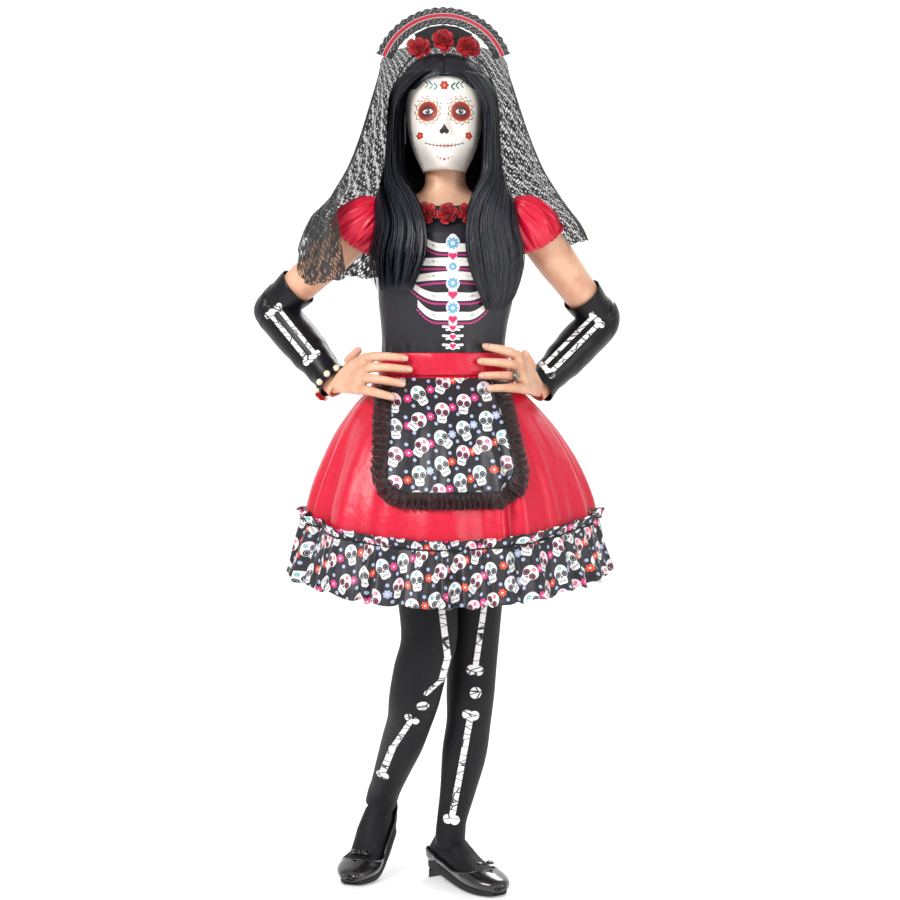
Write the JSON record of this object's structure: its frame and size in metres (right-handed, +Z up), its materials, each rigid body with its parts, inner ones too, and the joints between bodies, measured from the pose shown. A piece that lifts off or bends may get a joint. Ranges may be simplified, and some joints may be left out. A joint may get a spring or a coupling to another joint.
{
  "type": "catrina figure",
  "caption": "Life-size papier-mache catrina display figure, standing hands on hips in skull-print dress, veil and flowered comb, with turning head and arms.",
  "frame": {"origin": "on the floor, under the centre of the figure's bounding box", "axes": "+Z up, +X towards a viewer's right, the figure faces -Y; left and right in names are the figure's own"},
  "size_m": [0.6786, 0.564, 1.585],
  "materials": {
    "skin_paint": "painted and varnished papier-mache, skin colour",
    "paper_shell": "bare papier-mache",
    "face_paint": "papier-mache painted as a sugar skull, satin varnish",
    "wood_core": "bare pine",
    "steel_rod": "bright mild steel",
    "black_knit": "black stretch knit with printed bones",
    "black_satin": "black satin with printed bones",
    "red_satin": "bright red satin",
    "skull_print": "black cotton printed with skulls and flowers",
    "black_lace": "black floral lace",
    "rose_cloth": "dark red velvet and satin",
    "hair_fibre": "straight black synthetic fibre",
    "shoe_patent": "black patent leather",
    "shoe_sole": "dull black rubber",
    "band_plastic": "black plastic",
    "bead_cream": "cream pearl beads",
    "charm_red": "red moulded flower",
    "elastic_cord": "black elastic",
    "ring_metal": "darkened silver plate"
  },
  "bodies": {
    "figure": {"torso_shell": "skin_paint", "spine_post": "steel_rod", "hip_block": "wood_core", "shoulder_bar": "wood_core", "shoulder_peg_left": "wood_core", "shoulder_peg_right": "wood_core", "leg_rod_left": "steel_rod", "leg_rod_right": "steel_rod", "leg_left": "paper_shell", "leg_right": "paper_shell", "foot_left": "paper_shell", "foot_right": "paper_shell", "bodice": "black_satin", "waistband": "red_satin", "skirt": "red_satin", "hem_flounce": "skull_print", "flounce_heading": "skull_print", "apron": "skull_print", "apron_lace": "black_lace", "sleeve_left": "red_satin", "sleeve_right": "red_satin", "neckline_roses": "rose_cloth", "tights": "black_knit", "shoe_upper_left": "shoe_patent", "shoe_upper_right": "shoe_patent", "shoe_sole_left": "shoe_sole", "shoe_sole_right": "shoe_sole", "shoe_heel_left": "shoe_patent", "shoe_heel_right": "shoe_patent", "shoe_bow_left": "shoe_patent", "shoe_bow_right": "shoe_patent"},
    "head": {"head_shell": "face_paint", "head_plug": "wood_core", "wig_crown": "hair_fibre", "hair_back": "hair_fibre", "hair_front_left": "hair_fibre", "hair_front_right": "hair_fibre", "headband": "band_plastic", "comb_stay": "band_plastic", "comb_ribbon": "red_satin", "comb_lace_outer": "black_lace", "comb_lace_inner": "black_lace", "headband_roses": "rose_cloth", "veil": "black_lace"},
    "arm_left": {"arm_left": "skin_paint", "arm_plug_left": "wood_core", "arm_wire_left": "steel_rod", "hand_left": "skin_paint", "gauntlet_left": "black_satin"},
    "arm_right": {"arm_right": "skin_paint", "arm_plug_right": "wood_core", "arm_wire_right": "steel_rod", "hand_right": "skin_paint", "gauntlet_right": "black_satin"},
    "bracelet": {"bracelet_cord": "elastic_cord", "bracelet_beads": "bead_cream", "bracelet_rose": "charm_red"},
    "ring": {"ring_band": "ring_metal", "ring_skull": "ring_metal"}
  },
  "joints": [
    {"name": "head_turn", "type": "hinge", "parent": "figure", "child": "head", "pos_m": [0.01366, 0, 1.325], "axis": [0, 0, 1], "range_deg": [-20, 20], "deforming": ["hair_back", "hair_front_left", "hair_front_right", "veil"]},
    {"name": "shoulder_left_swivel", "type": "hinge", "parent": "figure", "child": "arm_left", "pos_m": [0.16866, 0, 1.198], "axis": [-0.5603, -0.439, 0.7024], "range_deg": [0, 35]},
    {"name": "shoulder_right_swivel", "type": "hinge", "parent": "figure", "child": "arm_right", "pos_m": [-0.13534, 0, 1.198], "axis": [-0.7045, 0.3375, -0.6243], "range_deg": [0, 35]},
    {"name": "bracelet_turn", "type": "hinge", "parent": "arm_right", "child": "bracelet", "pos_m": [-0.18993, -0.00383, 0.92045], "axis": [0.5888, -0.4391, -0.6786], "range_deg": [-30, 30]},
    {"name": "ring_turn", "type": "hinge", "parent": "arm_left", "child": "ring", "pos_m": [0.13084, -0.09658, 0.92915], "axis": [-0.8347, -0.5422, 0.0959], "range_deg": [-20, 20]}
  ]
}
